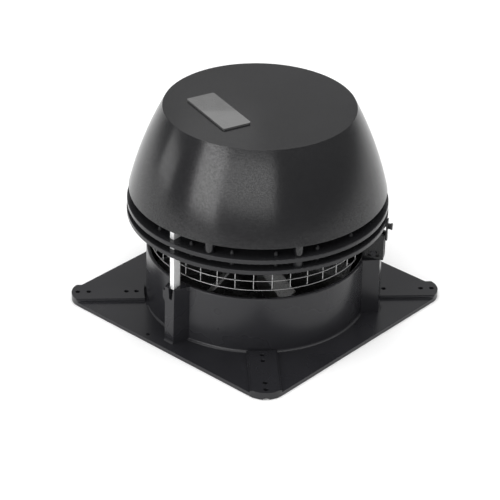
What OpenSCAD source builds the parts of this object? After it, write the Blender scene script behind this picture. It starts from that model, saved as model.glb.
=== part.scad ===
// Chimney fan: a square base casting with a round collar, and a hinged
// top unit that carries the motor under a dome and an impeller in the collar.
// Millimetres. Base underside at z = 0, centre of the flue at x = y = 0.

/* [Base plate] */
// Side of the square base plate
plate_w = 385; // [380:1:420]
// Thickness of the base plate
plate_t = 5.7; // [5:0.1:7]
// Corner radius of the plate
plate_corner_r = 30; // [24:1:36]
// Width of the raised strip on each diagonal
strip_w = 42.4; // [38:0.2:46]
// Width of the small step along each side of a strip
strip_step = 2.4; // [1.5:0.1:3]
// Height of the strips above the plate's top
strip_rise = 4.7; // [3:0.1:6]
// Diameter of the fixing holes in the strips
fix_hole_d = 6.8; // [6:0.1:8]
// Outermost fixing holes, distance in from the plate's edges
hole_a_in = 15; // [13:0.5:18]
// Second fixing holes, distance in from the plate's edges
hole_b_in = 26; // [24:0.5:30]
// Third fixing holes, distance out from the collar
hole_c_out = 28.5; // [26:0.1:30]
// Innermost fixing holes, distance out from the collar
hole_d_out = 14.4; // [13:0.1:16]
// Sideways place of the small hole in the front edge
edge_hole_x = -33.2; // [-40:0.2:-26]
// Distance of the small hole in from the edge
edge_hole_in = 9.5; // [7:0.5:12]
// Diameter of the small hole
edge_hole_d = 5.8; // [5:0.1:6.4]

/* [Collar and posts] */
// Inner radius of the collar, the flue bore
flue_r = 148.8; // [140:0.1:152]
// Wall of the collar at its rim
collar_t = 5.1; // [4:0.1:6]
// Height of the collar rim and the post tops
collar_top = 89.5; // [80:0.5:100]
// How much the collar widens down to its foot
collar_draft = 0.7; // [0.3:0.1:1]
// Radius of the fillets at the foot of collar and posts
foot_r = 3; // [2:0.5:4]
// How far a post stands out from the collar at its top
post_out = 21.5; // [21:0.1:24]
// How much a post widens down to its foot
post_draft = 1.6; // [0.8:0.1:2]
// Width of a post's outer face
post_face_w = 16; // [14:0.5:18]
// Width of a post where it meets the collar
post_root_w = 34; // [30:0.5:36]
// How far the cast ear stands out sideways from a post
ear_w = 6.4; // [5:0.1:8]
// Height of the cast ear
ear_h = 18; // [14:0.5:22]

/* [Legs] */
// Width of a leg bar
leg_w = 7; // [6:0.1:7.6]
// Gap between the collar's outside and a leg bar
leg_out = 4.8; // [4.6:0.1:5.4]
// Depth of a leg bar
leg_d = 12.1; // [11:0.1:12.4]
// How deep a leg's foot stands in its socket
leg_in = 3; // [2:0.5:5]
// How far a leg stands above the upper ring
leg_above = 10.3; // [6:0.1:12]
// Gap round a leg in its socket
leg_gap = 0.8; // [0.6:0.1:1]

/* [Hinge] */
// Distance of the hinge bolt's axis from the collar's outside
hinge_out = 12.1; // [12:0.1:12.6]
// Height of the hinge bolt's axis above the collar rim
hinge_up = 8.5; // [8.2:0.1:10]
// Outer width of the hinge bracket
bracket_w = 17; // [16:0.5:18]
// Depth of the bracket behind the bolt's axis
bracket_back = 15.6; // [15:0.1:16]
// Depth of the bracket in front of the bolt's axis
bracket_front = 13.8; // [12:0.1:14]
// Height of the bracket
bracket_h = 39.5; // [34:0.5:41]
// Width of the tongue
tongue_w = 8; // [7:0.1:8.4]
// Radius of the tongue's round lower end
tongue_r = 6.5; // [6:0.1:6.6]
// Gap between tongue and bracket
tongue_gap = 0.3; // [0.25:0.05:0.4]
// Radius of the hinge bolt
bolt_r = 2.5; // [2:0.1:3]
// Running clearance of the tongue on the bolt
bolt_run = 0.05; // [0.02:0.01:0.1]
// Width across flats of the hinge nut and bolt head
bolt_af = 8; // [7.6:0.1:8]
// Thickness of the hinge nut
nut_t = 2.7; // [2.2:0.1:3]

/* [Strap and knob] */
// Width of the strap
strap_w = 10; // [8:0.5:12]
// Thickness of the strap
strap_t = 2.1; // [1.8:0.1:2.4]
// How far the strap hangs below the deck
strap_drop = 25.7; // [20:0.1:28]
// Depth of the knob's axis below the deck's underside
knob_down = 3.2; // [2.6:0.1:3.6]
// Diameter of the knob
knob_d = 9.4; // [8.6:0.1:10]
// Length of the knob
knob_l = 6.3; // [5:0.1:7]
// Thickness of the knob's disc
knob_disc = 2.3; // [1.5:0.1:3]
// Radius of the pegs between the knob's disc and the strap
knob_peg_r = 0.95; // [0.8:0.05:1.1]

/* [Rings] */
// How far the motor deck, the lower ring, overhangs the collar
deck_over = 27; // [25:0.1:30]
// Height of the outlet between collar rim and deck
outlet_h = 53.2; // [48:0.1:60]
// Thickness of both rings
ring_t = 6.5; // [6:0.1:7]
// How much smaller the upper ring's radius is than the deck's
ring_less = 0.5; // [0:0.1:1]
// Width of the upper ring
ring_w = 34.4; // [30:0.2:40]
// Air gap between the two rings
ring_gap = 9; // [8.5:0.1:12]
// Number of pins round each ring
pin_n = 18; // [18:18:18]
// Distance of the pins in from the deck's edge
pin_in = 14.7; // [13:0.1:16]
// Radius of a pin at its foot
pin_r = 3; // [2.4:0.1:3.2]
// Height of a pin
pin_h = 5.6; // [5:0.1:7]
// Distance of the columns in from the deck's edge
col_in = 10.9; // [10.4:0.1:12]
// Radius of a column
col_r = 7; // [6:0.1:7.2]
// Radius of the column screws
col_screw_r = 3; // [2.5:0.1:3]

/* [Dome] */
// Gap between the upper ring and the dome's rim
dome_gap = 15.6; // [13:0.1:18]
// How much smaller the dome's rim radius is than the deck's
dome_less = 3; // [2.4:0.1:4]
// Height of the dome
dome_h = 121.9; // [110:0.1:130]
// How much the dome narrows from its rim to its flat top
dome_taper = 46.3; // [40:0.1:52]
// Bulge of the side beyond a straight line
dome_bulge = 4.2; // [3.6:0.1:5]
// Wall thickness of the dome
dome_t = 3; // [2.5:0.1:3.5]
// Long side of the badge plate
badge_l = 102; // [96:1:108]
// Short side of the badge plate
badge_w = 42; // [38:1:46]
// Thickness of the badge plate
badge_t = 2.5; // [1.5:0.1:3]
// Sideways place of the badge plate
badge_x = -25.2; // [-28:0.2:-22]
// Front to back place of the badge plate
badge_y = -55.2; // [-58:0.2:-52]
// Turn of the badge plate about the fan's axis
badge_turn = -17.9; // [-20:0.1:-16]

/* [Wire guard] */
// How much smaller the guard's radius is than the flue bore's
guard_in = 0.2; // [0:0.1:2]
// Diameter of the guard's wires
wire_d = 1.1; // [1:0.1:1.6]
// Spacing of the level wires
wire_step = 14; // [12:0.1:14]
// Number of level wires
hoop_n = 4; // [3:1:4]
// Angle between upright wires
wire_pitch = 9.67; // [9.67:0.01:9.7]
// Number of upright wires
wire_n = 35; // [34:1:35]
// Direction of the last upright wire before the hinge
wire_end = 17.7; // [16:0.1:18]

/* [Impeller] */
// Gap between the blades and the flue bore
blade_gap = 5.8; // [5.3:0.1:9]
// Number of blades
blade_n = 8; // [6:1:10]
// Direction of the first blade's upper edge
blade_az = -27; // [-30:1:-24]
// Height of the blades' upper edges above the collar rim
blade_up = 1; // [0:0.5:3]
// Height of the blades
blade_h = 45.5; // [38:0.5:46]
// Sideways and upward run of the folded lip
lip = 15.5; // [13:0.5:17]
// Thickness of the blade sheet
blade_t = 2; // [1.5:0.1:2.5]
// Inner end of the blades from the fan's axis
blade_r0 = 44; // [38:1:50]
// How far the hub disc stays inside the blades' tips
disc_in = 31; // [24:1:40]
// Thickness of the hub disc
disc_t = 3; // [2.5:0.1:3.5]
// Height of the hub above its disc
hub_h = 24; // [18:1:30]
// Wall of the hub round the shaft
hub_wall = 13.5; // [10:0.5:16]

/* [Motor] */
// Radius of the motor shaft
shaft_r = 8.5; // [8:0.1:9]
// Running clearance of the shaft in its bearings
shaft_run = 0.05; // [0.02:0.01:0.1]
// Outer radius of a bearing
bearing_r = 20; // [19:0.5:21]
// Width of a bearing
bearing_w = 12; // [11:0.5:13]
// Outer radius of the motor can
can_r = 72; // [68:1:76]
// Height of the motor can above the deck
can_h = 88; // [84:1:94]
// Wall thickness of the motor can
can_t = 4; // [3:0.5:5]
// Width of the can's flange
flange_w = 16; // [14:0.5:18]
// Thickness of the can's flange
flange_t = 4; // [3:0.5:5]
// Radius of the motor screws
motor_screw_r = 3; // [2.5:0.1:3]
// Outer radius of the rotor core
core_r = 41.5; // [38:0.5:44]
// Length of the rotor core and the stator core
core_l = 40; // [34:1:46]
// Height of both cores above the deck
core_up = 24; // [20:1:28]
// Air gap between rotor core and stator core
air_gap = 0.5; // [0.4:0.1:0.8]

/* [Hidden] */
$fn = 96;
// Sink that joins two solids into one, and clearance of parts that are
// screwed, pressed or welded together.
e = 0.5;
fit = 0.1;
press = 0.02;
edge_r = 1;
hinge_az = 30;
leg_az = [-90, 150];
post_az = [-90, 30, 150];
long_az = [-30, 90, 210];
short_az = [-70, 50, 170];
col_az = concat(long_az, short_az);
screw_az = [0, 90, 180, 270];
corner_az = [45, 135, 225, 315];

collar_r = flue_r + collar_t;
rim_r = collar_t / 2;
strip_top = plate_t + strip_rise;
strip_ledge = strip_rise * 0.7;
bolt_squares = [plate_w - 2 * hole_a_in, plate_w - 2 * hole_b_in,
  (collar_r + hole_c_out) * sqrt(2), (collar_r + hole_d_out) * sqrt(2)];
corner_tip = plate_w / sqrt(2) - plate_corner_r * (sqrt(2) - 1);
relief_r = plate_t;
post_r = collar_r + post_out;
post_sink = 2.1;
post_root_r = flue_r + post_sink;
ear_drop = 7.5;
ear_top = collar_top - ear_drop;
ear_from = 5;
ear_l = 10;
ear_lean = 4;
leg_r0 = collar_r + leg_out;
leg_foot_z = collar_top - leg_in;
notch_below = 13.5;
notch_h = leg_in + notch_below;
notch_top = [-2.3, 6.2];
notch_foot = [-0.6, 4.2];

hinge_r = collar_r + hinge_out;
hinge_z = collar_top + hinge_up;
bracket_r0 = hinge_r - bracket_back;
bracket_r1 = hinge_r + bracket_front;
bracket_top = collar_top + bracket_h;
bracket_floor = hinge_z - tongue_r - tongue_gap;
cavity_w = tongue_w + 2 * tongue_gap;
cavity_r0 = hinge_r - tongue_r - tongue_gap;
bracket_screw_r = 2;
bracket_screw_at = [(bracket_r0 + cavity_r0) / 2, 4.6];
bracket_screw_in = 14;
screw_head_h = 4;
screw_grip = 19.5;

deck_r = collar_r + deck_over;
deck_z = collar_top + outlet_h;
deck_top = deck_z + ring_t;
ring_z = deck_top + ring_gap;
ring_top = ring_z + ring_t;
ring_r = deck_r - ring_less;
ring_r0 = ring_r - ring_w;
pin_circle_r = deck_r - pin_in;
col_circle_r = deck_r - col_in;
col_boss_h = 18;
col_screw_in = 4;
col_head_r = 5;
col_head_h = 4;
leg_top_z = ring_top + leg_above;
leg_slot = 0.05;
leg_bevel = 1.4;
weld_gap = 0.02;

strap_r0 = deck_r;
strap_z0 = deck_z - strap_drop;
strap_top = deck_top;
knob_z = deck_z - knob_down;
knob_screw_r = 1.6;
knob_screw_in = 6;
knob_screw_l = deck_r - hinge_r - tongue_r + knob_screw_in;
knob_turn = 31;
knob_edge = 0.2;

dome_z = ring_top + dome_gap;
dome_r = deck_r - dome_less;
dome_top = dome_z + dome_h;
dome_top_r = dome_r - dome_taper;
dome_chord = sqrt(pow(dome_taper, 2) + pow(dome_h, 2));
dome_arc = dome_chord * dome_chord / 8 / dome_bulge + dome_bulge / 2;
dome_lean = atan(dome_taper / dome_h);
dome_cx = (dome_r + dome_top_r) / 2 - (dome_arc - dome_bulge) * cos(dome_lean);
dome_cz = (dome_z + dome_top) / 2 - (dome_arc - dome_bulge) * sin(dome_lean);
badge_corner_r = 3;

guard_r = flue_r - guard_in;
wire_r = wire_d / 2;
guard_z = deck_z - wire_r - (hoop_n - 1) * wire_step;
guard_span = (wire_n - 1) * wire_pitch;

blade_r = flue_r - blade_gap;
blade_top = collar_top + blade_up;
blade_bot = blade_top - blade_h;
disc_r = blade_r - disc_in;
disc_z = blade_bot - disc_t;
hub_r = shaft_r + hub_wall;
thread_step = 2.5;
thread_r = shaft_r - thread_step;
washer_w = 9;
washer_r = thread_r + washer_w;
washer_t = 1.5;
hub_nut_t = 10;
hub_nut_af = 19;

seal_w = 6;
seal_r = shaft_r + seal_w;
boss_wall = 12;
boss_r = bearing_r + boss_wall;
race_w = 3;
shield_t = 5;
spigot_h = 4;
shield_wall = 7;
shaft_top = deck_top + can_h - 2;
flange_r = can_r + flange_w;
motor_screw_ring = can_r + flange_w / 2;
motor_screw_in = ring_t - 1.5;
hex_head_af = 10;
hex_head_h = 4;

module at_az(a) {
  rotate([0, 0, a]) children();
}

// A slab whose outline lies in the plane of radius and height.
module radial_slab(w, side = 0) {
  translate([0, side + w / 2, 0])
    rotate([90, 0, 0])
      linear_extrude(w) children();
}

module rounded_square(w, r) {
  square([w - 2 * r, w], center = true);
  square([w, w - 2 * r], center = true);
  for (x = [-1, 1], y = [-1, 1])
    translate([x * (w / 2 - r), y * (w / 2 - r)]) circle(r);
}

// Concave quarter round with its corner at the origin.
module fillet_2d(r) {
  difference() {
    translate([-e, -e]) square(r + e);
    translate([r, r]) circle(r);
  }
}

module strips() {
  for (a = corner_az)
    difference() {
      intersection() {
        linear_extrude(strip_top) rounded_square(plate_w, plate_corner_r);
        at_az(a) union() {
          translate([flue_r, -strip_w / 2, 0])
            cube([plate_w, strip_w, plate_t + strip_ledge]);
          translate([flue_r, -strip_w / 2 + strip_step, 0])
            cube([plate_w, strip_w - 2 * strip_step, strip_top]);
        }
      }
      cylinder(r = collar_r + collar_draft + foot_r, h = strip_top + 1);
    }
}

// Outline of the collar's wall with its full-round rim and foot fillet.
// All feet reach e below the plate's face and are cut off flush in one go.
module collar_2d() {
  polygon([[flue_r, plate_t - e], [collar_r + collar_draft, plate_t - e],
    [collar_r, collar_top - rim_r], [flue_r, collar_top - rim_r]]);
  translate([flue_r + rim_r, collar_top - rim_r]) circle(rim_r);
  intersection() {
    translate([collar_r + collar_draft, plate_t]) fillet_2d(foot_r);
    translate([flue_r + 1, plate_t - e]) square([post_out, foot_r + 1]);
  }
}

module post() {
  foot_out = post_r + post_draft;
  intersection() {
    translate([0, 0, plate_t - e])
      linear_extrude(collar_top - plate_t + e)
        polygon([[post_root_r, -post_root_w / 2], [foot_out, -post_face_w / 2],
          [foot_out, post_face_w / 2], [post_root_r, post_root_w / 2]]);
    radial_slab(post_root_w + 2)
      polygon([[post_root_r, 0], [foot_out, 0], [post_r, collar_top],
        [post_root_r, collar_top]]);
  }
  // Fillet along the foot of the outer face.
  intersection() {
    translate([0, post_face_w / 2, plate_t])
      rotate([90, 0, 0])
        linear_extrude(post_face_w)
          translate([foot_out - 0.1, 0]) fillet_2d(foot_r);
    translate([foot_out - e, -post_face_w, plate_t - e])
      cube([foot_r + 2, 2 * post_face_w, foot_r + 1]);
  }
}

module leg_socket() {
  w = leg_w + 2 * leg_gap;
  translate([leg_r0 - leg_gap, -w / 2, leg_foot_z - 0.2])
    cube([leg_d + 2 * leg_gap, w, collar_top]);
  // Opening in the outer face, narrower towards its foot.
  translate([leg_r0 + leg_d / 2, 0, 0])
    rotate([90, 0, 90])
      linear_extrude(post_r)
        polygon([[notch_top[0], collar_top + 1], [notch_top[1], collar_top + 1],
          [notch_foot[1], collar_top - notch_h], [notch_foot[0], collar_top - notch_h]]);
}

module ear() {
  y0 = -post_face_w / 2 - 2;
  y1 = -post_face_w / 2 - ear_w;
  translate([leg_r0 + ear_from, 0, 0])
    rotate([90, 0, 90])
      linear_extrude(ear_l)
        polygon([[y0 + ear_lean, ear_top], [y1, ear_top], [y1, ear_top - ear_h * 2 / 3],
          [y0, ear_top - ear_h], [y0 + ear_lean, ear_top - ear_h]]);
}

module bracket_screw_holes() {
  for (s = [-1, 1]) at_az(hinge_az)
    translate([bracket_screw_at[0], s * bracket_screw_at[1], -1]) {
      cylinder(r = 2 * bracket_screw_r, h = collar_top - screw_grip + 1);
      cylinder(r = bracket_screw_r + fit, h = collar_top + 2);
    }
}

module base_plate() {
  color([0.13, 0.13, 0.14])
  difference() {
    union() {
      linear_extrude(plate_t) rounded_square(plate_w, plate_corner_r);
      strips();
    }
    translate([0, 0, -1]) cylinder(r = flue_r, h = plate_t + 2);
    for (s = bolt_squares)
      for (x = [-1, 1], y = [-1, 1])
        translate([x * s / 2, y * s / 2, -1])
          cylinder(d = fix_hole_d, h = strip_top + 2);
    translate([edge_hole_x, edge_hole_in - plate_w / 2, -1])
      cylinder(d = edge_hole_d, h = plate_t + 2);
    // Half-moon relief under each corner tip.
    for (a = corner_az) at_az(a)
      translate([corner_tip - 6, 0, -relief_r * 0.56])
        rotate([0, 90, 0]) cylinder(r = relief_r, h = 12);
    bracket_screw_holes();
  }
}

module flue_collar() {
  color([0.13, 0.13, 0.14])
  difference() {
    union() {
      rotate_extrude() collar_2d();
      for (a = post_az) at_az(a) post();
      for (a = leg_az) at_az(a) ear();
    }
    translate([0, 0, -1]) cylinder(r = plate_w, h = plate_t + 1);
    for (a = leg_az) at_az(a) leg_socket();
    bracket_screw_holes();
  }
}

module hinge_bracket() {
  color([0.11, 0.11, 0.12])
  at_az(hinge_az) difference() {
    radial_slab(bracket_w)
      polygon([[bracket_r0, collar_top], [bracket_r1, collar_top],
        [bracket_r1, bracket_top - 1.8], [bracket_r1 - 4.2, bracket_top],
        [bracket_r0 + 2, bracket_top], [bracket_r0, bracket_top - 2]]);
    translate([cavity_r0, -cavity_w / 2, bracket_floor])
      cube([bracket_r1, cavity_w, bracket_top]);
    // Recess for the nut in the cheek that faces clockwise.
    translate([hinge_r - bolt_af, -bracket_w / 2 - 1, hinge_z - bolt_af / 2 - fit])
      cube([2 * bolt_af, nut_t + 1, bolt_af + 2 * fit]);
    translate([hinge_r, bracket_w, hinge_z])
      rotate([90, 0, 0]) cylinder(r = bolt_r + fit, h = 2 * bracket_w);
    for (s = [-1, 1])
      translate([bracket_screw_at[0], s * bracket_screw_at[1], collar_top - 1])
        cylinder(r = bracket_screw_r + press, h = bracket_screw_in + 2);
  }
}

module bracket_screws() {
  color([0.6, 0.6, 0.62])
  for (s = [-1, 1]) at_az(hinge_az)
    translate([bracket_screw_at[0], s * bracket_screw_at[1], collar_top - screw_grip]) {
      cylinder(r = bracket_screw_r, h = screw_grip + bracket_screw_in);
      difference() {
        translate([0, 0, -screw_head_h])
          cylinder(r = bracket_screw_r * 1.75, h = screw_head_h);
        translate([0, 0, -screw_head_h - 1])
          cylinder(r = bracket_screw_r * 0.85, h = screw_head_h - 1, $fn = 6);
      }
    }
}

module hinge_bolt() {
  color([0.5, 0.5, 0.52])
  at_az(hinge_az) translate([hinge_r, 0, hinge_z]) rotate([90, 0, 0]) {
    translate([0, 0, -bracket_w / 2])
      cylinder(r = bolt_r, h = bracket_w - fit);
    translate([0, 0, -bracket_w / 2 - 3.5])
      cylinder(d = bolt_af / cos(30), h = 3.5, $fn = 6);
  }
}

module hinge_nut() {
  color([0.5, 0.5, 0.52])
  at_az(hinge_az) translate([hinge_r, 0, hinge_z]) rotate([90, 0, 0])
    difference() {
      translate([0, 0, bracket_w / 2 - nut_t])
        cylinder(d = bolt_af / cos(30), h = nut_t, $fn = 6);
      cylinder(r = bolt_r + press, h = bracket_w);
    }
}

module ring_profile(r0, r1, t) {
  translate([r0, 0]) square([r1 - edge_r - r0, t]);
  translate([r0, edge_r]) square([r1 - r0, t - 2 * edge_r]);
  translate([r1 - edge_r, edge_r]) circle(edge_r);
  translate([r1 - edge_r, t - edge_r]) circle(edge_r);
}

module pins(z) {
  for (i = [0 : pin_n - 1])
    at_az(i * 360 / pin_n) translate([pin_circle_r, 0, z]) {
      cylinder(r = pin_r, h = 1);
      translate([0, 0, 1]) cylinder(r1 = pin_r, r2 = pin_r * 0.84, h = pin_h * 0.36);
      translate([0, 0, 1 + pin_h * 0.36])
        cylinder(r1 = pin_r * 0.84, r2 = pin_r * 0.24, h = pin_h * 0.64 - 1);
    }
}

module deck_pins() {
  color([0.14, 0.14, 0.15]) pins(deck_top);
}

module ring_pins() {
  color([0.14, 0.14, 0.15]) pins(ring_top);
}

module leg_cut(az, w, r0, d, z) {
  at_az(az)
    translate([r0 - leg_slot, -w / 2 - leg_slot, z - 1])
      cube([d + 2 * leg_slot, w + 2 * leg_slot, ring_t + 2]);
}

module motor_deck() {
  color([0.14, 0.14, 0.15])
  difference() {
    union() {
      translate([0, 0, deck_z]) rotate_extrude() ring_profile(0, deck_r, ring_t);
    }
    translate([0, 0, deck_z - 1]) cylinder(r = seal_r, h = ring_t + 2);
    for (a = long_az) at_az(a) translate([col_circle_r, 0, deck_z - 1]) {
      cylinder(r = col_screw_r + fit, h = ring_t + 2);
      cylinder(r = col_head_r + fit, h = col_head_h + 1);
    }
    for (a = screw_az) at_az(a)
      translate([motor_screw_ring, 0, deck_top - motor_screw_in - 0.5])
        cylinder(r = motor_screw_r + fit, h = ring_t);
    for (a = leg_az) leg_cut(a, leg_w, leg_r0, leg_d, deck_z);
    leg_cut(hinge_az, tongue_w, hinge_r - tongue_r, 2 * tongue_r, deck_z);
  }
}

module bearing_housing() {
  color([0.14, 0.14, 0.15])
  translate([0, 0, deck_top]) difference() {
    cylinder(r = boss_r, h = bearing_w);
    translate([0, 0, -1]) cylinder(r = bearing_r + press, h = bearing_w + 2);
  }
}

module upper_ring() {
  color([0.14, 0.14, 0.15])
  difference() {
    translate([0, 0, ring_z]) rotate_extrude() ring_profile(ring_r0, ring_r, ring_t);
    for (a = col_az) at_az(a)
      translate([col_circle_r, 0, ring_z - 1])
        cylinder(r = col_screw_r + fit, h = ring_t + 2);
    for (a = leg_az) leg_cut(a, leg_w, leg_r0, leg_d, ring_z);
  }
}

module ring_spacers() {
  color([0.12, 0.12, 0.13])
  for (a = long_az) at_az(a) translate([col_circle_r, 0, deck_top])
    difference() {
      cylinder(r = col_r, h = ring_gap);
      translate([0, 0, -1]) cylinder(r = col_screw_r + fit, h = ring_gap + 2);
    }
}

module cap_screw(l) {
  cylinder(r = col_head_r, h = col_head_h);
  cylinder(r = col_screw_r, h = l);
}

module column_screws() {
  color([0.3, 0.3, 0.31]) {
    for (a = long_az) at_az(a) translate([col_circle_r, 0, deck_z])
      cap_screw(dome_z + col_screw_in - deck_z);
    for (a = short_az) at_az(a) translate([col_circle_r, 0, ring_z - col_head_h])
      cap_screw(dome_z + col_screw_in - ring_z + col_head_h);
  }
}

// Outline of the dome, grown inwards by a wall thickness.
module dome_2d(inset) {
  intersection() {
    translate([dome_cx, dome_cz]) circle(dome_arc - inset);
    translate([0, dome_z - 1]) square([dome_r + 2, dome_top - dome_z + 1 - inset]);
  }
}

module dome_cover() {
  color([0.12, 0.12, 0.13])
  difference() {
    union() {
      difference() {
        rotate_extrude() dome_2d(0);
        rotate_extrude() dome_2d(dome_t);
        translate([0, 0, dome_z - 2]) cylinder(r = dome_r + 3, h = 2);
      }
      // Column bosses cast into the wall.
      intersection() {
        for (a = col_az) at_az(a) translate([col_circle_r, 0, ring_top])
          cylinder(r = col_r, h = dome_z + col_boss_h - ring_top);
        union() {
          rotate_extrude() dome_2d(dome_t / 2);
          translate([0, 0, ring_top - 1])
            cylinder(r = dome_r - 0.2, h = dome_z - ring_top + 1.4);
        }
      }
    }
    for (a = col_az) at_az(a) translate([col_circle_r, 0, ring_top - 1])
      cylinder(r = col_screw_r + press, h = dome_z + col_screw_in + 2 - ring_top);
  }
}

module badge_plate() {
  color([0.4, 0.4, 0.42])
  translate([badge_x, badge_y, dome_top]) at_az(badge_turn) {
    r = badge_corner_r;
    linear_extrude(badge_t) {
      square([badge_l - 2 * r, badge_w], center = true);
      square([badge_l, badge_w - 2 * r], center = true);
      for (x = [-1, 1], y = [-1, 1])
        translate([x * (badge_l / 2 - r), y * (badge_w / 2 - r)]) circle(r);
    }
  }
}

module guard_hoops() {
  color([0.6, 0.6, 0.6])
  for (i = [0 : hoop_n - 1])
    at_az(wire_end - guard_span)
      translate([0, 0, guard_z + i * wire_step])
        rotate_extrude(angle = guard_span)
          translate([guard_r, 0]) circle(wire_r, $fn = 24);
}

module guard_uprights() {
  color([0.6, 0.6, 0.6])
  for (i = [0 : wire_n - 1])
    at_az(wire_end - i * wire_pitch)
      translate([guard_r - wire_d - weld_gap, 0, guard_z - wire_r])
        cylinder(r = wire_r, h = deck_z - guard_z + wire_r, $fn = 24);
}

module leg() {
  difference() {
    translate([leg_r0, -leg_w / 2, leg_foot_z])
      cube([leg_d, leg_w, leg_top_z - leg_foot_z]);
    // Small bevels at the top end.
    for (s = [-1, 1])
      translate([leg_r0 - 1, s * leg_w / 2, leg_top_z])
        rotate([45, 0, 0]) cube([leg_d + 2, leg_bevel, leg_bevel]);
  }
}

module front_leg() {
  color([0.85, 0.85, 0.85]) at_az(leg_az[0]) leg();
}

module rear_leg() {
  color([0.85, 0.85, 0.85]) at_az(leg_az[1]) leg();
}

module hinge_tongue() {
  color([0.55, 0.55, 0.56])
  at_az(hinge_az) difference() {
    radial_slab(tongue_w) {
      translate([hinge_r, hinge_z]) circle(tongue_r);
      translate([hinge_r - tongue_r, hinge_z])
        square([2 * tongue_r, deck_top - hinge_z]);
    }
    translate([hinge_r, tongue_w, hinge_z])
      rotate([90, 0, 0]) cylinder(r = bolt_r + bolt_run, h = 2 * tongue_w);
    translate([hinge_r + tongue_r - knob_screw_in - 0.5, 0, knob_z])
      rotate([0, 90, 0]) cylinder(r = knob_screw_r + fit, h = 2 * knob_screw_in);
  }
}

module lock_strap() {
  color([0.16, 0.16, 0.17])
  at_az(hinge_az) difference() {
    translate([strap_r0, 0, 0]) rotate([90, 0, 90]) linear_extrude(strap_t) {
      translate([-strap_w / 2, strap_z0 + strap_w / 2])
        square([strap_w, strap_top - strap_z0 - strap_w / 2]);
      translate([0, strap_z0 + strap_w / 2]) circle(strap_w / 2);
    }
    translate([strap_r0 - 1, 0, knob_z])
      rotate([0, 90, 0]) cylinder(r = knob_screw_r + fit, h = strap_t + 2);
  }
}

module strap_knob() {
  color([0.35, 0.35, 0.36])
  at_az(hinge_az) translate([strap_r0 + strap_t, 0, knob_z]) rotate([0, 90, 0]) {
    // A crown of pegs between the strap and the head.
    for (i = [0 : 3])
      at_az(i * 360 / 4 + knob_turn) translate([knob_d / 2 - knob_peg_r - knob_edge, 0, 0])
        cylinder(r = knob_peg_r, h = knob_l - knob_disc + e);
    translate([0, 0, knob_l - knob_disc]) cylinder(d = knob_d, h = knob_disc);
    translate([0, 0, -strap_t - knob_screw_l])
      cylinder(r = knob_screw_r, h = knob_l - knob_disc + strap_t + knob_screw_l + e);
  }
}

module motor_can() {
  color([0.2, 0.2, 0.21])
  translate([0, 0, deck_top]) difference() {
    union() {
      cylinder(r = can_r, h = can_h);
      cylinder(r = flange_r, h = flange_t);
    }
    translate([0, 0, -1]) cylinder(r = can_r - can_t, h = can_h + 2);
    for (a = screw_az) at_az(a)
      translate([motor_screw_ring, 0, -1])
        cylinder(r = motor_screw_r + fit, h = flange_t + 2);
  }
}

module end_shield() {
  color([0.2, 0.2, 0.21])
  translate([0, 0, deck_top + can_h]) difference() {
    union() {
      cylinder(r = can_r, h = shield_t);
      translate([0, 0, -spigot_h])
        cylinder(r = can_r - can_t - fit, h = spigot_h + 1);
      translate([0, 0, -bearing_w])
        cylinder(r = bearing_r + shield_wall, h = bearing_w);
    }
    translate([0, 0, -bearing_w - 1])
      cylinder(r = bearing_r + press, h = bearing_w + 1);
    translate([0, 0, -1]) cylinder(r = shaft_r + race_w, h = shield_t - 1);
  }
}

module stator_core() {
  color([0.3, 0.3, 0.32])
  translate([0, 0, deck_top + core_up]) difference() {
    cylinder(r = can_r - can_t - fit, h = core_l);
    translate([0, 0, -1]) cylinder(r = core_r + air_gap, h = core_l + 2);
  }
}

module motor_screws() {
  color([0.6, 0.6, 0.62])
  for (a = screw_az) at_az(a)
    translate([motor_screw_ring, 0, deck_top]) {
      translate([0, 0, -motor_screw_in])
        cylinder(r = motor_screw_r, h = motor_screw_in + flange_t + e);
      translate([0, 0, flange_t])
        cylinder(d = hex_head_af / cos(30), h = hex_head_h, $fn = 6);
    }
}

module bearing() {
  difference() {
    cylinder(r = bearing_r, h = bearing_w);
    translate([0, 0, -1]) cylinder(r = shaft_r + shaft_run, h = bearing_w + 2);
    for (z = [-1, bearing_w - 0.8]) translate([0, 0, z])
      difference() {
        cylinder(r = bearing_r - race_w, h = 1.8);
        translate([0, 0, -1]) cylinder(r = shaft_r + race_w, h = 4);
      }
  }
}

module lower_bearing() {
  color([0.7, 0.7, 0.72]) translate([0, 0, deck_top]) bearing();
}

module upper_bearing() {
  color([0.7, 0.7, 0.72])
  translate([0, 0, deck_top + can_h - bearing_w]) bearing();
}

module shaft_seal() {
  color([0.06, 0.06, 0.06])
  translate([0, 0, deck_z]) difference() {
    cylinder(r = seal_r - press, h = ring_t);
    translate([0, 0, -1]) cylinder(r = shaft_r + 0.3, h = ring_t + 2);
  }
}

module motor_shaft() {
  low = disc_z - washer_t - hub_nut_t - 2;
  color([0.7, 0.7, 0.72]) {
    translate([0, 0, blade_bot]) cylinder(r = shaft_r, h = shaft_top - blade_bot);
    translate([0, 0, low]) cylinder(r = thread_r, h = blade_bot + 1 - low);
  }
}

module rotor_core() {
  color([0.35, 0.35, 0.36])
  translate([0, 0, deck_top + core_up]) difference() {
    cylinder(r = core_r, h = core_l);
    translate([0, 0, -1]) cylinder(r = shaft_r + press, h = core_l + 2);
  }
}

module impeller_hub() {
  color([0.3, 0.3, 0.31])
  difference() {
    union() {
      translate([0, 0, disc_z]) cylinder(r = disc_r, h = disc_t);
      translate([0, 0, disc_z]) cylinder(r = hub_r, h = disc_t + hub_h);
    }
    translate([0, 0, disc_z - 1]) cylinder(r = thread_r + press, h = disc_t + 2);
    translate([0, 0, blade_bot]) cylinder(r = shaft_r + press, h = hub_h + 1);
  }
}

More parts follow.
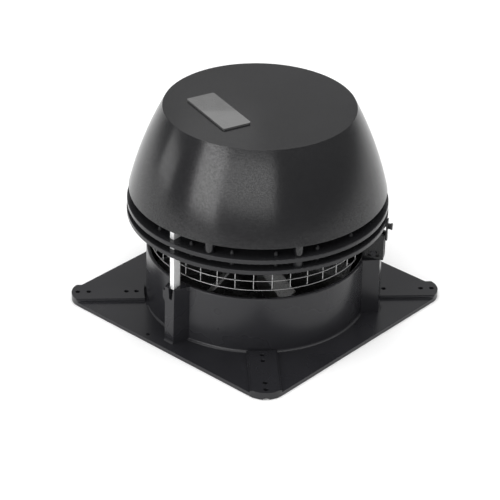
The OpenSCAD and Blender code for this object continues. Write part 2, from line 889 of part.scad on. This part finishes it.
// One blade in section: upright web, then a lip that rises at 45 degrees.
module blade_2d() {
  fold = blade_top - lip;
  s = blade_t / sqrt(2);
  polygon([[-lip - blade_t / 2, blade_bot], [-lip + blade_t / 2, blade_bot],
    [-lip + blade_t / 2, fold - 0.4], [s, blade_top - s],
    [0, blade_top], [-lip - blade_t / 2, fold + 0.4]]);
}

module impeller_blades() {
  color([0.3, 0.3, 0.31])
  intersection() {
    for (i = [0 : blade_n - 1])
      at_az(blade_az + i * 360 / blade_n)
        translate([blade_r0, 0, 0])
          rotate([90, 0, 90])
            linear_extrude(blade_r) blade_2d();
    translate([0, 0, blade_bot - 1])
      cylinder(r = blade_r, h = blade_top - blade_bot + 4);
  }
}

module hub_washer() {
  color([0.7, 0.7, 0.72])
  translate([0, 0, disc_z - washer_t]) difference() {
    cylinder(r = washer_r, h = washer_t);
    translate([0, 0, -1]) cylinder(r = thread_r + fit, h = washer_t + 2);
  }
}

module hub_nut() {
  color([0.7, 0.7, 0.72])
  translate([0, 0, disc_z - washer_t - hub_nut_t]) difference() {
    cylinder(d = hub_nut_af / cos(30), h = hub_nut_t, $fn = 6);
    translate([0, 0, -1]) cylinder(r = thread_r + press, h = hub_nut_t + 2);
  }
}

base_plate();
flue_collar();
hinge_bracket();
bracket_screws();
hinge_bolt();
hinge_nut();
motor_deck();
deck_pins();
upper_ring();
ring_pins();
ring_spacers();
column_screws();
bearing_housing();
dome_cover();
badge_plate();
guard_hoops();
guard_uprights();
front_leg();
rear_leg();
hinge_tongue();
lock_strap();
strap_knob();
motor_can();
end_shield();
stator_core();
motor_screws();
lower_bearing();
upper_bearing();
shaft_seal();
motor_shaft();
rotor_core();
impeller_hub();
impeller_blades();
hub_washer();
hub_nut();
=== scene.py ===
"""Chimney fan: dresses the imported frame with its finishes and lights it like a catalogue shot."""
import math

import bmesh
import bpy
from mathutils import Matrix, Vector

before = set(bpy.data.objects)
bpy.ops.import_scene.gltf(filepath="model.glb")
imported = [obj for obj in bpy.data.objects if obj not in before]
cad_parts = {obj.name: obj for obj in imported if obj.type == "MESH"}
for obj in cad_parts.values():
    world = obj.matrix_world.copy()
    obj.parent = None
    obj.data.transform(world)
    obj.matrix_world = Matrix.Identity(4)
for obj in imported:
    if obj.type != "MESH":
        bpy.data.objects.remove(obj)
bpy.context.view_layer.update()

MM = 0.001
FLUE_R = 148.8 * MM

# The camera solved from the base plate, collar, rings and dome
CAMERA_AT = (1.6449, -1.8861, 1.5367)
CAMERA_TURN = math.radians(41.2985)
CAMERA_RISE = math.radians(30.2786)
CAMERA_ROLL = math.radians(1.3259)
CAMERA_LENS = 148.87
CAMERA_SENSOR = 36

# The point that the lamps look at, at the height of the dome's foot
AIM_AT = (0, 0, 0.2)
FLOOR_HALF = 12


# Camera

def place_camera():
    """The photograph's view."""
    right = Vector((math.cos(CAMERA_TURN), math.sin(CAMERA_TURN), 0))
    back = Vector((math.sin(CAMERA_TURN) * math.cos(CAMERA_RISE),
                   -math.cos(CAMERA_TURN) * math.cos(CAMERA_RISE),
                   math.sin(CAMERA_RISE)))
    up = back.cross(right)
    side = math.cos(CAMERA_ROLL) * right + math.sin(CAMERA_ROLL) * up
    top = -math.sin(CAMERA_ROLL) * right + math.cos(CAMERA_ROLL) * up
    turn = Matrix((side, top, back)).transposed()
    lens = bpy.data.cameras.new("camera")
    lens.lens = CAMERA_LENS
    lens.sensor_width = CAMERA_SENSOR
    cam = bpy.data.objects.new("camera", lens)
    cam.matrix_world = Matrix.Translation(CAMERA_AT) @ turn.to_4x4()
    bpy.context.collection.objects.link(cam)
    bpy.context.scene.camera = cam


# Colours and nodes

def linear(code):
    """A colour written as sRGB hex, turned to linear RGBA."""
    parts = [int(code[i:i + 2], 16) / 255 for i in (0, 2, 4)]
    return tuple(c / 12.92 if c <= 0.04045 else ((c + 0.055) / 1.055) ** 2.4 for c in parts) + (1,)


def per_metre(size_mm):
    """How often a pattern of this size repeats in a metre, which is what a texture's scale means here."""
    return 1000 / size_mm


def add(tree, kind, settings=None, links=None):
    """Adds a node. Settings name its properties, input sockets or colour stops, links its inputs."""
    node = tree.nodes.new(kind)
    for name, value in (settings or {}).items():
        if name == "stops":
            for stop, (place, code) in zip(node.color_ramp.elements, value):
                stop.position = place
                stop.color = linear(code)
        elif isinstance(name, int) or name in node.inputs:
            node.inputs[name].default_value = value
        else:
            setattr(node, name, value)
    for name, source in (links or {}).items():
        tree.links.new(source, node.inputs[name])
    return node


def start(name):
    mat = bpy.data.materials.new(name)
    mat.use_nodes = True
    tree = mat.node_tree
    tree.nodes.clear()
    coords = add(tree, "ShaderNodeTexCoord").outputs["Object"]
    return mat, tree, coords


def end(tree, shader):
    add(tree, "ShaderNodeOutputMaterial", {}, {"Surface": shader.outputs["BSDF"]})


# Finishes

def powder_coat(name, dark, light, rough, grain_mm, depth, shine, sparkle):
    """Polyester powder coat: an even black skin whose fine grain breaks the highlights.

    Real grain is well under a millimetre. It is drawn coarser, so that it shows in the picture.
    """
    mat, tree, at = start(name)
    grain = add(tree, "ShaderNodeTexNoise", {"Scale": per_metre(grain_mm), "Detail": 0.0}, {"Vector": at})
    cloud = add(tree, "ShaderNodeTexNoise", {"Scale": per_metre(70), "Detail": 3.0}, {"Vector": at})
    tint = add(tree, "ShaderNodeValToRGB", {"stops": [(0.35, dark), (0.65, light)]},
               {"Fac": cloud.outputs["Fac"]})
    sheen = add(tree, "ShaderNodeMapRange",
                {"From Min": 0.3, "From Max": 0.7,
                 "To Min": rough - 0.15 * depth, "To Max": rough + 0.2 * depth},
                {"Value": grain.outputs["Fac"]})
    # Each grain throws back a little more or less light, so the highlights sparkle and the shade stays calm.
    fleck = add(tree, "ShaderNodeTexNoise", {"Scale": per_metre(1.2), "Detail": 0.0}, {"Vector": at})
    glint = add(tree, "ShaderNodeMapRange",
                {"From Min": 0.3, "From Max": 0.7, "To Min": shine - sparkle, "To Max": shine + sparkle},
                {"Value": fleck.outputs["Fac"]})
    edge = add(tree, "ShaderNodeBevel", {"samples": 6, "Radius": 0.5 * MM})
    bump = add(tree, "ShaderNodeBump", {"Strength": depth, "Distance": 0.25 * grain_mm * MM},
               {"Height": grain.outputs["Fac"], "Normal": edge.outputs["Normal"]})
    end(tree, add(tree, "ShaderNodeBsdfPrincipled", {"IOR": 1.5, "Metallic": 0.0},
                  {"Base Color": tint.outputs["Color"], "Roughness": sheen.outputs["Result"],
                   "Specular IOR Level": glint.outputs["Result"], "Normal": bump.outputs["Normal"]}))
    return mat


def cast_enamel(name, dark, light):
    """Black enamel on a sand casting: glossy, over the casting's soft waves, with painted shade in the flue.
    """
    mat, tree, at = start(name)
    wave = add(tree, "ShaderNodeTexNoise", {"Scale": per_metre(25), "Detail": 0.0}, {"Vector": at})
    cloud = add(tree, "ShaderNodeTexNoise", {"Scale": per_metre(110), "Detail": 3.0}, {"Vector": at})
    tint = add(tree, "ShaderNodeValToRGB", {"stops": [(0.35, dark), (0.65, light)]},
               {"Fac": cloud.outputs["Fac"]})
    gloss = add(tree, "ShaderNodeMapRange", {"From Min": 0.3, "From Max": 0.7, "To Min": 0.22, "To Max": 0.3},
                {"Value": cloud.outputs["Fac"]})
    edge = add(tree, "ShaderNodeBevel", {"samples": 6, "Radius": 0.6 * MM})
    soft = add(tree, "ShaderNodeBump", {"Strength": 0.06, "Distance": 0.3 * MM},
               {"Height": wave.outputs["Fac"], "Normal": edge.outputs["Normal"]})
    # Painted shade: inside the flue the enamel's colour and shine are taken down, so the opening looks deep
    # and black.
    level = add(tree, "ShaderNodeVectorMath", {"operation": "MULTIPLY", 1: (1, 1, 0)}, {0: at})
    reach = add(tree, "ShaderNodeVectorMath", {"operation": "LENGTH"}, {"Vector": level.outputs["Vector"]})
    flue_shade_band = {"From Min": FLUE_R, "From Max": FLUE_R + 1.5 * MM}
    colour = add(tree, "ShaderNodeMapRange", {**flue_shade_band, "To Min": 0.15}, {"Value": reach.outputs["Value"]})
    shine = add(tree, "ShaderNodeMapRange", {**flue_shade_band, "To Min": 0.06, "To Max": 0.38},
                {"Value": reach.outputs["Value"]})
    skin = add(tree, "ShaderNodeVectorMath", {"operation": "SCALE"},
               {"Vector": tint.outputs["Color"], "Scale": colour.outputs["Result"]})
    end(tree, add(tree, "ShaderNodeBsdfPrincipled", {"IOR": 1.5, "Metallic": 0.0},
                  {"Base Color": skin.outputs["Vector"], "Roughness": gloss.outputs["Result"],
                   "Specular IOR Level": shine.outputs["Result"], "Normal": soft.outputs["Normal"]}))
    return mat


def drawn_steel(name, dark, light, rough, along, step_mm):
    """Steel with the fine lines of drawing or brushing along one axis, which stretch the highlights.

    A line is 60 times as long as it is wide, and is drawn coarser than a real one, so that it shows.
    """
    mat, tree, at = start(name)
    fine = per_metre(step_mm)
    stretch = [fine, fine, fine]
    stretch["xyz".index(along)] = fine / 60
    lines = add(tree, "ShaderNodeVectorMath", {"operation": "MULTIPLY", 1: stretch}, {0: at})
    noise = add(tree, "ShaderNodeTexNoise", {"Scale": 1.0, "Detail": 2.0},
                {"Vector": lines.outputs["Vector"]})
    tint = add(tree, "ShaderNodeValToRGB", {"stops": [(0.3, dark), (0.7, light)]},
               {"Fac": noise.outputs["Fac"]})
    worn = add(tree, "ShaderNodeMapRange",
               {"From Min": 0.3, "From Max": 0.7, "To Min": rough * 0.8, "To Max": rough * 1.25},
               {"Value": noise.outputs["Fac"]})
    bump = add(tree, "ShaderNodeBump", {"Strength": 0.08, "Distance": 0.05 * MM},
               {"Height": noise.outputs["Fac"]})
    end(tree, add(tree, "ShaderNodeBsdfPrincipled", {"Metallic": 1.0},
                  {"Base Color": tint.outputs["Color"], "Roughness": worn.outputs["Result"],
                   "Normal": bump.outputs["Normal"]}))
    return mat


def zinc_bar(name, dark, light):
    """Bright zinc on a cut bar: pale and half dull, only part metallic, so that it reads near white."""
    mat, tree, at = start(name)
    lines = add(tree, "ShaderNodeTexNoise", {"Scale": per_metre(1.4), "Detail": 2.0}, {"Vector": at})
    tint = add(tree, "ShaderNodeValToRGB", {"stops": [(0.3, dark), (0.7, light)]},
               {"Fac": lines.outputs["Fac"]})
    dull = add(tree, "ShaderNodeMapRange", {"To Min": 0.3, "To Max": 0.42}, {"Value": lines.outputs["Fac"]})
    end(tree, add(tree, "ShaderNodeBsdfPrincipled", {"Metallic": 0.35},
                  {"Base Color": tint.outputs["Color"], "Roughness": dull.outputs["Result"]}))
    return mat


def plated_steel(name, dark, light, rough):
    """Plating on steel: metallic, with faint crystalline patches about 2 mm across."""
    mat, tree, at = start(name)
    patch = add(tree, "ShaderNodeTexVoronoi", {"Scale": per_metre(2.2)}, {"Vector": at})
    tint = add(tree, "ShaderNodeValToRGB", {"stops": [(0.1, dark), (0.8, light)]},
               {"Fac": patch.outputs["Distance"]})
    dull = add(tree, "ShaderNodeMapRange", {"To Min": rough, "To Max": rough + 0.12},
               {"Value": patch.outputs["Distance"]})
    end(tree, add(tree, "ShaderNodeBsdfPrincipled", {"Metallic": 1.0},
                  {"Base Color": tint.outputs["Color"], "Roughness": dull.outputs["Result"]}))
    return mat


def bare_badge(name):
    """Anodised plate under clear lacquer: grey, mirror-smooth, left without print."""
    mat, tree, at = start(name)
    cloud = add(tree, "ShaderNodeTexNoise", {"Scale": per_metre(17), "Detail": 2.0}, {"Vector": at})
    tint = add(tree, "ShaderNodeValToRGB", {"stops": [(0.3, "515151"), (0.7, "575757")]},
               {"Fac": cloud.outputs["Fac"]})
    gloss = add(tree, "ShaderNodeMapRange", {"To Min": 0.06, "To Max": 0.12}, {"Value": cloud.outputs["Fac"]})
    end(tree, add(tree, "ShaderNodeBsdfPrincipled",
                  {"IOR": 1.5, "Metallic": 0.0, "Coat Weight": 1.0, "Coat Roughness": 0.03},
                  {"Base Color": tint.outputs["Color"], "Roughness": gloss.outputs["Result"]}))
    return mat


def soft_rubber(name):
    """Nitrile rubber: matt black, with a grain that only takes the evenness away."""
    mat, tree, at = start(name)
    grain = add(tree, "ShaderNodeTexNoise", {"Scale": per_metre(0.7)}, {"Vector": at})
    tint = add(tree, "ShaderNodeValToRGB", {"stops": [(0.3, "0c0c0c"), (0.7, "161616")]},
               {"Fac": grain.outputs["Fac"]})
    end(tree, add(tree, "ShaderNodeBsdfPrincipled", {"Roughness": 0.75, "IOR": 1.5},
                  {"Base Color": tint.outputs["Color"]}))
    return mat


def white_paper(name):
    """Matt paper: near white, without a reflection of the fan."""
    mat, tree, at = start(name)
    grain = add(tree, "ShaderNodeTexNoise", {"Scale": per_metre(330)}, {"Vector": at})
    tint = add(tree, "ShaderNodeValToRGB", {"stops": [(0.2, "fafafa"), (0.8, "ffffff")]},
               {"Fac": grain.outputs["Fac"]})
    end(tree, add(tree, "ShaderNodeBsdfPrincipled", {"Roughness": 0.9, "Specular IOR Level": 0.0},
                  {"Base Color": tint.outputs["Color"]}))
    return mat


def dress():
    """Gives each piece its finish. The hidden screws, the hub's nut and washer and the tongue get zinc."""
    dome = powder_coat("dome_powder_coat", "111113", "151517",
                       rough=0.2, grain_mm=1.5, depth=0.08, shine=0.48, sparkle=0.17)
    # Painted light: the rings, pins and spacers take the dome's black coat drawn lighter, standing in for
    # light in the shaded gaps.
    rings = powder_coat("ring_powder_coat", "232325", "272729",
                        rough=0.24, grain_mm=1.5, depth=0.03, shine=0.3, sparkle=0.0)
    small = powder_coat("bracket_powder_coat", "101112", "151617",
                        rough=0.28, grain_mm=1.2, depth=0.08, shine=0.4, sparkle=0.02)
    cast = cast_enamel("base_enamel", "1f1f22", "252528")
    leg = zinc_bar("bright_zinc_leg", "ececec", "fafafa")
    wire = drawn_steel("guard_wire_steel", "a4a4a4", "c2c2c2", rough=0.34, along="z", step_mm=0.3)
    sheet = drawn_steel("impeller_sheet_steel", "a8a8a8", "c4c4c4", rough=0.3, along="x", step_mm=0.5)
    zinc = plated_steel("zinc_plate", "6a6a6c", "8e8e90", rough=0.35)
    nut = plated_steel("dark_oxide", "2e2e30", "424244", rough=0.38)
    ground = drawn_steel("ground_steel", "9a9a9a", "bdbdbd", rough=0.25, along="z", step_mm=0.3)
    core = drawn_steel("varnished_laminations", "3a3a40", "5a5a60", rough=0.4, along="x", step_mm=0.5)
    looks = {
        "base_plate": cast, "flue_collar": cast,
        "dome_cover": dome, "badge_plate": bare_badge("lacquered_badge"),
        "motor_deck": rings, "bearing_housing": rings, "upper_ring": rings,
        "deck_pins": rings, "ring_pins": rings, "ring_spacers": rings,
        "hinge_bracket": small, "lock_strap": small, "strap_knob": small,
        "motor_can": small, "end_shield": small, "impeller_hub": small,
        "hinge_nut": nut, "hinge_bolt": nut, "column_screws": nut,
        "guard_hoops": wire, "guard_uprights": wire, "front_leg": leg, "rear_leg": leg,
        "impeller_blades": sheet, "stator_core": core, "rotor_core": core,
        "lower_bearing": ground, "upper_bearing": ground, "motor_shaft": ground,
        "shaft_seal": soft_rubber("seal_rubber"),
    }
    for name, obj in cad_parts.items():
        finish = looks.get(name, zinc)
        for i in range(len(obj.data.materials)):
            obj.data.materials[i] = finish
        if not obj.data.materials:
            obj.data.materials.append(finish)


# Studio

def panel(name, size, at, aim, glow):
    """A soft box that looks at a point; glow is its brightness beside the white paper's 1."""
    lamp = bpy.data.lights.new(name, "AREA")
    lamp.shape = "RECTANGLE"
    lamp.size, lamp.size_y = size
    lamp.energy = glow * math.pi * size[0] * size[1]
    obj = bpy.data.objects.new(name, lamp)
    obj.location = at
    obj.rotation_euler = (Vector(aim) - Vector(at)).to_track_quat("-Z", "Y").to_euler()
    bpy.context.collection.objects.link(obj)


def around(turn, rise, reach):
    """A place seen from the point that the lamps look at, at an azimuth and elevation in degrees."""
    a, b = math.radians(turn), math.radians(rise)
    away = Vector((math.cos(a) * math.cos(b), math.sin(a) * math.cos(b), math.sin(b)))
    return Vector(AIM_AT) + reach * away


def soft_sky():
    """A pale sky that is brighter overhead than at the horizon."""
    world = bpy.data.worlds.new("studio")
    bpy.context.scene.world = world
    world.use_nodes = True
    sky = world.node_tree
    at = add(sky, "ShaderNodeTexCoord").outputs["Generated"]
    rise = add(sky, "ShaderNodeSeparateXYZ", {}, {"Vector": at})
    glow = add(sky, "ShaderNodeMapRange", {"From Max": 0.5, "To Min": 0.30, "To Max": 0.52},
               {"Value": rise.outputs["Z"]})
    sky.links.new(glow.outputs["Result"], sky.nodes["Background"].inputs["Strength"])
    sky.nodes["Background"].inputs["Color"].default_value = (1, 1, 1, 1)


def soft_boxes():
    """The ceiling, the boxes that draw the bright bands down the dome, and a card for the badge."""
    panel("ceiling", size=(4.0, 4.0), at=(0, 0, 3.0), aim=AIM_AT, glow=1.9)
    panel("front_box", size=(1.3, 1.2), at=around(-97, 15, 2.8), aim=AIM_AT, glow=4.4)
    panel("side_box", size=(2.6, 0.95), at=around(-58, 18, 2.9), aim=AIM_AT, glow=2.1)
    panel("left_box", size=(0.9, 0.5), at=around(-144, 4, 2.6), aim=AIM_AT, glow=2.0)
    # A small card over the fan, whose lower edge draws the line across the bare plate.
    panel("badge_card", size=(0.12, 0.08), at=(-0.315, 0.263, 0.564), aim=(-0.025, -0.055, 0.305), glow=0.3)


def paper_floor():
    data = bpy.data.meshes.new("floor")
    bm = bmesh.new()
    bmesh.ops.create_grid(bm, x_segments=2, y_segments=2, size=FLOOR_HALF)
    bm.to_mesh(data)
    bm.free()
    floor = bpy.data.objects.new("floor", data)
    floor.location = (0, 0, -0.5 * MM)
    bpy.context.collection.objects.link(floor)
    data.materials.append(white_paper("pale_paper"))


place_camera()
dress()
soft_sky()
soft_boxes()
paper_floor()
bpy.context.scene.view_settings.view_transform = "Standard"
